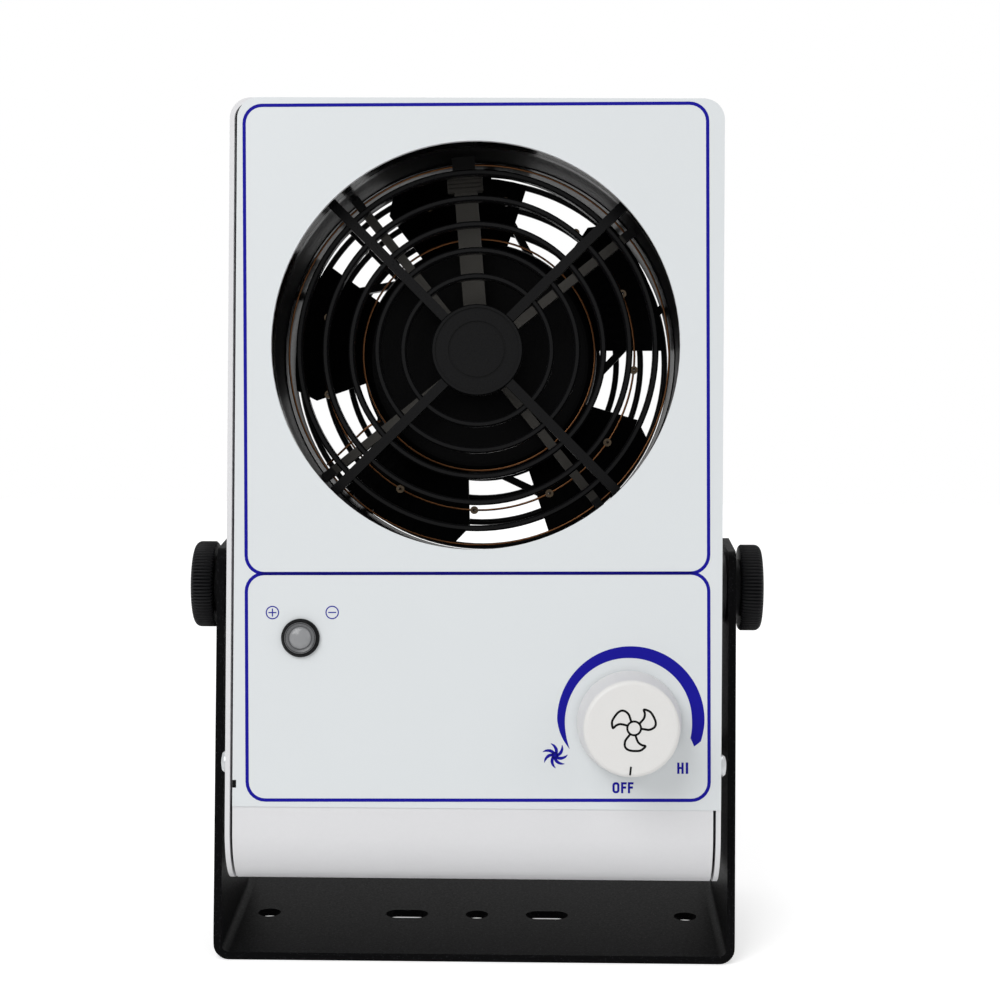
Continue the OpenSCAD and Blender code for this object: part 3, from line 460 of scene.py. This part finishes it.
# %% Painted steel and film
powder = new_finish("black_powder_coat", (11, 11, 12), 0.10, 0.7, (0.42, 0.55), 0.012,
                    flecks=((44, 44, 47), 2200.0, 0.24, 0.62), Specular_IOR_Level=0.1,
                    IOR=1.22)
dress(powder, "bracket")
pale_paint = new_finish("pale_satin_paint", (222, 222, 224), 0.012, 0.9, (0.38, 0.46), 0.004)
dress(pale_paint, "chassis", "cover")
film = new_finish("printed_film", (222, 226, 228), 0.006, 0.35, (0.34, 0.4), 0.0015)
dress(film, "overlay_film")

# %% [markdown]
# ## Black plastics
#
# Three blacks lie close together: the duct ring is glossy, the grille and
# the fan are satin, and the clamp knobs come a little coarser from their
# mould. They could share one finish, but their gloss is what tells them
# apart. A low index of refraction keeps them deep black in white light.

# %% Black plastics
gloss_black = new_finish("gloss_black_plastic", (7, 7, 8), 0.06, 0.8, (0.12, 0.2), 0.003,
                         Specular_IOR_Level=0.25, IOR=1.1)
dress(gloss_black, "duct_ring")
grille_black = new_finish("satin_black_plastic", (11, 11, 12), 0.08, 0.4, (0.24, 0.36), 0.004,
                          Specular_IOR_Level=0.16, IOR=1.38)
dress(grille_black, "front_grille", "rear_guard", "indicator_bezel")
fan_black = new_finish("fan_plastic", (7, 7, 8), 0.08, 0.6, (0.28, 0.4), 0.003,
                       Specular_IOR_Level=0.1, IOR=1.3)
dress(fan_black, "fan_frame", "impeller", "mains_inlet")
clamp_black = new_finish("clamp_plastic", (13, 13, 15), 0.10, 0.4, (0.36, 0.48), 0.006,
                         Specular_IOR_Level=0.12)
dress(clamp_black, "left_clamp_knob", "right_clamp_knob")

# %% [markdown]
# ## Emitter arms
#
# The arms that hold the wires are matt grey-brown plastic, and the tube round
# them is black. Both are one moulding here, so the colour changes with the
# distance from the fan's axis, which needs no second piece.

# %% Emitter arms
TUBE_BORE = 49.0
arm_plastic = new_finish("emitter_arm_plastic", (76, 74, 70), 0.10, 0.4, (0.5, 0.62), 0.006,
                         Specular_IOR_Level=0.2)
dress(darker_outside(arm_plastic, TUBE_BORE, (9, 9, 10)), "emitter_frame")

# %% [markdown]
# ## Pale, clear and washer plastics
#
# The dial is smooth off-white plastic. The unlit indicator is a clear-grey
# dome in a grey cup. It hardly lets light through, so a glossy grey does what
# real transmission would, and stays the same in every viewer.

# %% Knob, lamp, washers
knob_white = new_finish("knob_plastic", (226, 225, 223), 0.012, 0.5, (0.32, 0.4), 0.002)
dress(knob_white, "speed_knob")
lens_clear = new_finish("lens_plastic", (140, 141, 143), 0.02, 0.6, (0.12, 0.2), 0.001)
dress(lens_clear, "indicator_lens", "indicator_lamp")
reflector = new_finish("reflector_plastic", (92, 93, 95), 0.03, 0.5, (0.25, 0.35), 0.002)
dress(reflector, "indicator_reflector")
nylon = new_finish("washer_nylon", (34, 34, 36), 0.02, 0.4, (0.4, 0.55), 0.003)
dress(nylon, "friction_washers", "board_standoffs", "indicator_nut")

# %% [markdown]
# ## Bare metals
#
# Screws and studs are zinc plated, the rings are copper wire gone brown, and
# the transformer and the motor are stacks of thin steel sheet. Streaks pulled
# along one axis look drawn, and pulled hard they look like sheets on edge.

# %% Metals
copper = new_metal("copper_wire", (116, 78, 50), (1, 1, 1), (0.28, 0.42))
dress(copper, "outer_ground_ring", "inner_ground_ring", "emitter_ring", "ring_jumper",
      "transformer_coil")
zinc = new_metal("zinc_plate", (186, 188, 190), (1, 0.2, 1), (0.25, 0.4))
dress(zinc, "cover_screws", "fan_screws", "panel_nuts", "transformer_strap",
      "transformer_screws", "board_screws", "pot_nut", "inlet_pins", "inlet_screws",
      "inlet_nuts", "stud_nuts", "left_clamp_stud", "right_clamp_stud", "pot_shaft")
steel = new_metal("ground_steel", (170, 172, 176), (0.1, 1, 1), (0.16, 0.28))
dress(steel, "fan_shaft", "fan_bearings")
needle_steel = new_metal("needle_steel", (78, 68, 56), (0.1, 1, 1), (0.25, 0.35))
dress(needle_steel, "emitter_needles")
laminations = new_metal("laminated_steel", (120, 118, 116), (1, 0.02, 1), (0.35, 0.5), 0.12,
                        0.02)
dress(laminations, "transformer_core", "fan_stator", "rotor_can")

# %% [markdown]
# ## Electrical parts
#
# These sit inside the case, and show only when a panel is taken away. Plain
# moulded colours with a grain are enough for them: green board, black resin,
# red lead and a glass fuse.

# %% Electrical parts
lead_red = new_finish("lead_insulation", (150, 28, 26), 0.04, 0.5, (0.35, 0.45), 0.002)
dress(lead_red, "high_voltage_lead")
board_green = new_finish("board_green", (28, 92, 52), 0.10, 0.3, (0.3, 0.45), 0.004)
dress(board_green, "control_board")
part_black = new_finish("component_epoxy", (34, 34, 38), 0.15, 0.3, (0.35, 0.55), 0.004)
dress(part_black, "board_parts", "speed_pot")
fuse_glass = new_finish("fuse_glass", (214, 218, 216), 0.03, 0.5, (0.08, 0.15), 0.001)
dress(fuse_glass, "board_fuse")
print("nodes without a finish:", sorted(set(frame["nodes"]) - DRESSED))

# %% [markdown]
# ## Surfaces from numbers
#
# The printed marks, and any piece that is reshaped here, are grids of points:
# a section with a few points is carried along a path, and the grid's faces
# follow from the row and column numbers alone.

# %% Surface helpers
def skin(sections, closed=False):
    """Faces over a grid of sections, an array of (steps, points round, 3).
    Point j of step i is joined to point j+1 and to step i+1. A closed grid
    joins its last step to its first; an open one gets a face on each end."""
    steps, around = sections.shape[:2]
    i = np.arange(steps if closed else steps - 1)[:, None]
    j = np.arange(around)[None]
    near, far, side = i * around, ((i + 1) % steps) * around, (j + 1) % around
    faces = np.stack([near + j, near + side, far + side, far + j], -1).reshape(-1, 4).tolist()
    if not closed:
        last = (steps - 1) * around
        faces += [list(range(around)), list(range(last, last + around))]
    return sections.reshape(-1, 3), faces


def add_piece(name, parts, material, body, sharp_deg=35.0):
    """One object from several (points, faces) parts, in mm in the row frame.
    Its normals are turned outwards, and edges sharper than sharp_deg stay
    sharp in an otherwise smooth surface."""
    points, faces, start = [], [], 0
    for part_points, part_faces in parts:
        points.append(part_points)
        faces += [[start + v for v in face] for face in part_faces]
        start += len(part_points)
    mesh = bpy.data.meshes.new(name)
    mesh.from_pydata((np.concatenate(points) * MM).tolist(), [], faces)
    work = bmesh.new()
    work.from_mesh(mesh)
    bmesh.ops.remove_doubles(work, verts=work.verts[:], dist=1e-7)
    bmesh.ops.recalc_face_normals(work, faces=work.faces[:])
    work.to_mesh(mesh)
    work.free()
    mesh.polygons.foreach_set("use_smooth", np.ones(len(mesh.polygons), bool))
    mesh.set_sharp_from_angle(angle=radians(sharp_deg))
    mesh.materials.append(material)
    piece = bpy.data.objects.new(name, mesh)
    scene.collection.objects.link(piece)
    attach(piece, body)
    print(name, len(mesh.vertices), "points,", len(mesh.polygons), "faces")
    return piece


def from_housing(points):
    """Points (x, depth, up) in mm, from the tilt axis and square to the
    housing, turned by the housing's lean into the row frame."""
    x, y, z = np.moveaxis(np.asarray(points, float), -1, 0)
    return np.stack([x, y * cos(REST_TILT) + z * sin(REST_TILT),
                     z * cos(REST_TILT) - y * sin(REST_TILT) + PIVOT_UP], -1)


# %% [markdown]
# ## The printed marks
#
# The film is screen printed: blue lines round the outlet and the controls, a
# swelling arc round the speed dial, and a few small signs. Ink stands a few
# hundredths of a millimetre proud, so each mark is a very thin raised band
# that follows a path. Names and badges are left off, and their places bare.

# %% Bands along a path
def band(path, width, closed=False):
    """The two edges of a band along a flat path: each point goes half the
    width to either side, square to the direction from its last neighbour to
    its next."""
    path = np.asarray(path, float)
    if closed:
        ahead = np.roll(path, -1, 0) - np.roll(path, 1, 0)
    else:
        ahead = np.gradient(path, axis=0)
    ahead /= np.linalg.norm(ahead, axis=1, keepdims=True)
    side = np.column_stack([-ahead[:, 1], ahead[:, 0]])
    half = np.broadcast_to(width, len(path))[:, None] / 2
    return path + side * half, path - side * half, closed


def on_circle(centre, radius, degrees):
    """Points at these angles, counted from the right, on a circle round
    centre. The radius may change from point to point."""
    turn = np.radians(degrees)
    return np.asarray(centre) + np.column_stack([radius * np.cos(turn), radius * np.sin(turn)])


def smooth_path(points, steps=6):
    """A Catmull-Rom curve through points: between p1 and p2 it is half of
    2 p1 + (p2 - p0) t + (2 p0 - 5 p1 + 4 p2 - p3) t^2
    + (3 p1 - p0 - 3 p2 + p3) t^3."""
    p = np.vstack([points[:1], points, points[-1:]])
    p0, p1, p2, p3 = (p[i:len(p) - 3 + i, None] for i in range(4))
    t = np.linspace(0, 1, steps, endpoint=False)[None, :, None]
    curve = (2 * p1 + (p2 - p0) * t + (2 * p0 - 5 * p1 + 4 * p2 - p3) * t ** 2
             + (3 * p1 - p0 - 3 * p2 + p3) * t ** 3) / 2
    return np.vstack([curve.reshape(-1, 2), points[-1:]])


def rounded_loop(corners, radius, steps=8):
    """A loop through near-square corners, each replaced by a quarter turn:
    centre + (first point - centre) cos + (second point - centre) sin."""
    corners = np.asarray(corners, float)
    back, on = np.roll(corners, 1, 0) - corners, np.roll(corners, -1, 0) - corners
    first = corners + radius * back / np.linalg.norm(back, axis=1, keepdims=True)
    second = corners + radius * on / np.linalg.norm(on, axis=1, keepdims=True)
    centre = first + second - corners
    turn = np.linspace(0, np.pi / 2, steps)[None, :, None]
    loop = (centre[:, None] + (first - centre)[:, None] * np.cos(turn)
            + (second - centre)[:, None] * np.sin(turn))
    return loop.reshape(-1, 2)


FILM_TURN = radians(0.46)
FILM_PIN = np.array([30.0, 59.5])


def laid_on_film(edge):
    """The film is stuck on by hand: its print is turned a little about
    FILM_PIN, x cos - z sin and x sin + z cos."""
    c, s = cos(FILM_TURN), sin(FILM_TURN)
    return (edge - FILM_PIN) @ np.array([[c, s], [-s, c]]) + FILM_PIN


def print_on(name, bands, material, body="housing", stand_off=0.0, ink=0.04):
    """A printed piece: the edges of each band, on the surface and ink mm above
    it, are the four corners of a section that follows the band."""
    parts = []
    for left, right, closed in bands:
        if body == "housing":
            left, right = laid_on_film(left), laid_on_film(right)
        low, high = -(PANEL_FACE + stand_off - 0.01), -(PANEL_FACE + stand_off + ink)
        corners = [np.column_stack([edge[:, 0], np.full(len(edge), level), edge[:, 1]])
                   for edge, level in ((left, low), (right, low), (right, high), (left, high))]
        parts.append(skin(from_housing(np.stack(corners, 1)), closed))
    return add_piece(name, parts, material, body)


# %% Inks
blue_ink = new_finish("blue_ink", (27, 24, 148), 0.03, 0.3, (0.4, 0.48), 0.001,
                      Specular_IOR_Level=0.06)
# The dark ink prints the dial's own sign. It also paints the shade in the notch at the film's
# left edge.
dark_ink_and_shade = new_finish("dark_ink_and_shade", (10, 10, 11), 0.03, 0.3, (0.4, 0.48), 0.001,
                      Specular_IOR_Level=0.06)

# %% [markdown]
# ## Frames, arc and pinwheel
#
# Two blue frames share their middle line. The arc swells from a point at the
# low end to a broad, slanted end at the high one: each edge is a radius for
# every angle, and the points between are read off along straight lines. The
# pinwheel is seven curved arms and a small disc.

# %% Frames, arc and pinwheel
LINE = 0.83
upper = [(-57.8, 121.6), (58.05, 121.6), (58.05, 4.45), (-57.35, 4.45)]
lower = [(-57.35, 4.45), (58.05, 4.45), (58.05, -52.1), (-57.15, -52.1)]
print_on("print_frame_upper", [band(rounded_loop(upper, 4.5), LINE, True)], blue_ink)
print_on("print_frame_lower", [band(rounded_loop(lower, 4.5), LINE, True)], blue_ink)

DIAL = (38.6, -32.1)
arc_turn = np.array([205.5, 197, 189.5, 180, 160, 135, 112, 90, 60, 30, 0, -17, -22.8])
arc_outer = np.array([16.85, 17.5, 17.95, 18.34, 18.34, 18.34, 18.34, 18.34, 18.34, 18.34,
                      18.34, 18.2, 17.05])
arc_inner = np.array([16.84, 16.62, 16.5, 16.4, 16.15, 15.9, 15.65, 15.4, 15.3, 15.25, 15.2,
                      15.5, 17.04])
fine_turn = np.linspace(205.5, -22.8, 120)
arc = (on_circle(DIAL, np.interp(-fine_turn, -arc_turn, arc_outer), fine_turn),
       on_circle(DIAL, np.interp(-fine_turn, -arc_turn, arc_inner), fine_turn), False)
print_on("print_speed_arc", [arc], blue_ink)

WHEEL = (19.7, -40.95)
out_along = np.linspace(0.12, 1, 10)
arm_width = np.interp(out_along, [0.12, 0.5, 0.8, 1], [0.7, 0.8, 0.55, 0.12])
ARM_TIPS = (109, 55.6, 3.5, -41.7, -87.3, -146.5, 163.7)
arms = [band(on_circle(WHEEL, 3.15 * out_along, tip - 60 * (1 - out_along)), arm_width)
        for tip in ARM_TIPS]
hub = band(on_circle(WHEEL, 0.46, np.arange(0, 360, 20)), 0.88, True)
print_on("print_pinwheel", arms + [hub], blue_ink)

# %% [markdown]
# ## Letters and signs
#
# A text object would bring a whole font for five letters. Here each letter is
# a few straight strokes and a rounded loop, so that it prints as bands too.

# %% OFF, HI and the two polarity signs
def bar(x0, z0, x1, z1, width):
    """A straight stroke between two points."""
    return band(np.linspace((x0, z0), (x1, z1), 2), width)


def letter_o(x, z, wide, high, stroke):
    """A narrow O: a rounded loop, x and z its lower left corner."""
    a, b = x + stroke / 2, z + stroke / 2
    c, d = x + wide - stroke / 2, z + high - stroke / 2
    return band(rounded_loop([(a, d), (c, d), (c, b), (a, b)], 0.5, 6), stroke, True)


def letter_f(x, z, wide, high, stroke):
    """An F: a stem and two arms that start at its edge."""
    top, middle = z + high - stroke / 2, z + high * 0.52
    return [bar(x + stroke / 2, z, x + stroke / 2, z + high, stroke),
            bar(x + stroke, top, x + wide, top, stroke),
            bar(x + stroke, middle, x + wide * 0.9, middle, stroke)]


def sign(centre, minus):
    """A ringed plus, or a ringed minus."""
    x, z = centre
    strokes = [band(on_circle(centre, 1.545, np.arange(0, 360, 12)), 0.27, True),
               bar(x - 1, z, x + 1, z, 0.27)]
    if not minus:
        strokes += [bar(x, z + 0.135, x, z + 1, 0.27), bar(x, z - 1, x, z - 0.135, 0.27)]
    return strokes


STROKE, HIGH, OFF_FOOT, HI_FOOT, HI_TOP = 0.54, 2.75, -50.35, -45.5, -42.7
print_on("print_off", [letter_o(34.0, OFF_FOOT, 1.75, HIGH, 0.56)]
         + letter_f(36.15, OFF_FOOT, 1.4, HIGH, STROKE)
         + letter_f(37.85, OFF_FOOT, 1.4, HIGH, STROKE), blue_ink)
print_on("print_hi", [bar(50.4, HI_FOOT, 50.4, HI_TOP, STROKE),
                      bar(51.45, HI_FOOT, 51.45, HI_TOP, STROKE),
                      bar(50.67, -44.05, 51.18, -44.05, 0.5),
                      bar(52.55, HI_FOOT, 52.55, HI_TOP, 0.6)], blue_ink)
print_on("print_plus", sign((-50.8, -5.3), False), blue_ink)
print_on("print_minus", sign((-35.85, -5.28), True), blue_ink)
# A dark band painted where the notch in the film's edge shows only shade.
print_on("painted_notch_shade", [bar(-60.4, -49.0, -60.4, -47.1, 0.9)], dark_ink_and_shade)

# %% [markdown]
# ## The dial's own sign
#
# A three-bladed fan and a pointer line are printed on the dial's face. One
# blade's outline is a radius for every angle about the hub, smoothed by a
# curve through its points and turned twice. It rides on the dial.

# %% The dial's own sign
FACE = (38.9, -32.7)
FACE_LIFT = 16.0
wheel_hub = (FACE[0] + 0.55, FACE[1] + 0.2)
blade_radius = np.array([1.66, 2.69, 3.66, 4.63, 5.19, 5.41, 5.46, 5.57, 5.32, 5.10, 4.83, 4.35,
                         3.38, 1.66])
blade_turn = np.array([-3, -5, -5, 1, 8, 17, 29, 45, 57, 62.5, 60.5, 54, 46, 41.0])
strokes = [band(on_circle(wheel_hub, 1.66, np.arange(0, 360, 12)), 0.5, True)]
strokes += [band(smooth_path(on_circle(wheel_hub, blade_radius, blade_turn + turn)), 0.54)
            for turn in (0, 117, -120)]
strokes.append(bar(FACE[0] - 0.15, FACE[1] - 9.07, FACE[0] - 0.37, FACE[1] - 11.15, 0.46))
print_on("print_dial", strokes, dark_ink_and_shade, "speed_dial", FACE_LIFT)

# %% [markdown]
# ## Folded shell
#
# The front and the wrap-round cover are folded sheet steel. Their CAD solids
# have the right holes and bends, so a copy of each is merged into one smooth
# skin, which lets light run evenly over the bends. The foot bend comes out a
# little deeper, to where the real sheet ends above the base.

# %% Chassis and cover skins
def cad_copy(node):
    """Points in mm and triangles of a CAD node."""
    mesh = frame["nodes"][node].data
    points = np.empty(len(mesh.vertices) * 3, np.float32)
    mesh.vertices.foreach_get("co", points)
    corners = np.empty(len(mesh.loops), np.int32)
    mesh.loops.foreach_get("vertex_index", corners)
    return points.reshape(-1, 3).astype(float) / MM, corners.reshape(-1, 3)


def with_deeper_foot(points, bend_start=-58.2, deeper=2.2):
    """Points further down the housing than bend_start, in mm from the tilt
    axis, go deeper mm further down: z along the housing is y sin + z cos."""
    along = points[:, 1] * sin(REST_TILT) + (points[:, 2] - PIVOT_UP) * cos(REST_TILT)
    moved = points.copy()
    below = along < bend_start
    moved[below, 1] -= deeper * sin(REST_TILT)
    moved[below, 2] -= deeper * cos(REST_TILT)
    return moved


for node in ("chassis", "cover"):
    cad_points, cad_faces = cad_copy(node)
    shell = add_piece(node + "_shell", [(with_deeper_foot(cad_points), cad_faces.tolist())],
                      pale_paint, "housing", 30.0)
    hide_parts(node)

# %% [markdown]
# ## Wire rings
#
# Three thin wires run round inside the outlet: two at earth, and between them
# the one that carries the needles. Each is a round section carried round a
# circle, so its grid closes both ways.

# %% Rings round the fan's axis
RING_DEPTH = -0.5
WIRE = 0.28


def wire_circle(radius, wire, steps=120, around=8):
    """radius + wire cos b outwards and wire sin b in depth, for b round the
    wire, turned by a round the fan's axis."""
    a = np.linspace(0, 2 * np.pi, steps, endpoint=False)[:, None]
    b = np.linspace(0, 2 * np.pi, around, endpoint=False)[None]
    out = radius + wire * np.cos(b) + 0 * a
    return skin(from_housing(np.stack([out * np.cos(a), RING_DEPTH + wire * np.sin(b) + 0 * a,
                                       FAN_UP + out * np.sin(a)], -1)), True)


RING_RADII = {"outer_ground_ring": 50.4, "emitter_ring": 41.2, "inner_ground_ring": 30.7}
for node, radius in RING_RADII.items():
    ring = add_piece(node + "_wire", [wire_circle(radius, WIRE)], copper, "housing")
    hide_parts(node)

# %% [markdown]
# ## Indicator
#
# Inside the black bezel sit a grey cup and a low clear-grey dome. Both are
# turned parts: a profile of radius and height carried round an axis that
# stands square on the panel.

# %% Cup and dome
LAMP = (-43.2, -12.2)


def turned_part(profile, centre, steps=64):
    """A closed profile of (radius, height off the panel) turned round an axis
    through centre, square to the panel."""
    radius, height = np.asarray(profile, float).T
    a = np.linspace(0, 2 * np.pi, steps, endpoint=False)[:, None]
    return skin(from_housing(np.stack([centre[0] + radius * np.cos(a),
                                       -(PANEL_FACE - 0.3 + height) + 0 * a,
                                       centre[1] + radius * np.sin(a)], -1)), True)


cup_profile = [(2.9, 0.4), (2.9, 1.24), (3.15, 1.26), (3.86, 1.78), (3.92, 1.72), (3.92, 1.2),
               (3.3, 0.4)]
cup = add_piece("indicator_cup", [turned_part(cup_profile, LAMP)], reflector, "housing")
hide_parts("indicator_reflector")
rise = np.linspace(0, np.pi / 2, 10)
dome = np.column_stack([2.85 * np.cos(rise), 1.0 + 1.0 * np.sin(rise)])
lens = add_piece("indicator_dome", [turned_part([(0, 0.5), (2.85, 0.5), *dome.tolist()], LAMP)],
                 lens_clear, "housing")
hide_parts("indicator_lens")

# %% [markdown]
# ## Clamp knobs
#
# A knurled plastic knob on each side locks the lean. Seen from the front it is
# a dark disc edge with fine ribs and well-rounded rims. Going round, the rim
# rises and falls with a cosine raised to a low power, which gives ribs with
# broad tops and narrow grooves; along the axis, each rim is a quarter circle.

# %% Ribbed discs on the tilt axis
def ribbed_knob(side, inner, outer, radius=11.35, collar=1.5, rim=1.7, ribs=76, rib=0.42):
    """A grid of rows along the axis and points round it. Each row has a
    distance s from the middle plane, a radius r and a rib share w; a point
    is side s, r' cos a, r' sin a with r' = r - rib w (1 - wave(a))."""
    quarter = np.linspace(0, np.pi / 2, 7)
    start = inner + collar
    s = np.concatenate([[inner, inner, start, start, start + 0.5],
                        outer - rim + rim * np.sin(quarter),
                        [outer, outer - 0.7, outer - 0.7]])
    r = np.concatenate([[0, 7.5, 7.5, radius - 0.5, radius],
                        radius - rim + rim * np.cos(quarter),
                        [radius - 2.6, radius - 3.2, 0]])
    w = np.concatenate([[0, 0, 0, 0.2, 1], np.cos(quarter) ** 0.5, [0, 0, 0]])
    a = np.linspace(0, 2 * np.pi, ribs * 8, endpoint=False)[None]
    wave = (0.5 + 0.5 * np.cos(ribs * a)) ** 0.6
    reach = r[:, None] - rib * w[:, None] * (1 - wave)
    grid = np.stack([side * s[:, None] + 0 * a, reach * np.cos(a),
                     PIVOT_UP + reach * np.sin(a)], -1)
    points, faces = skin(grid)
    return points, faces[:-2]


SHORTER = 0.8
for side, body in ((-1, "left_clamp"), (1, "right_clamp")):
    inner, outer = sorted(abs(corner.x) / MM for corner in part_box(body + "_knob"))
    knob = add_piece(body + "_ribbed", [ribbed_knob(side, inner, outer - SHORTER)], clamp_black,
                     body, 50.0)
    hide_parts(body + "_knob")
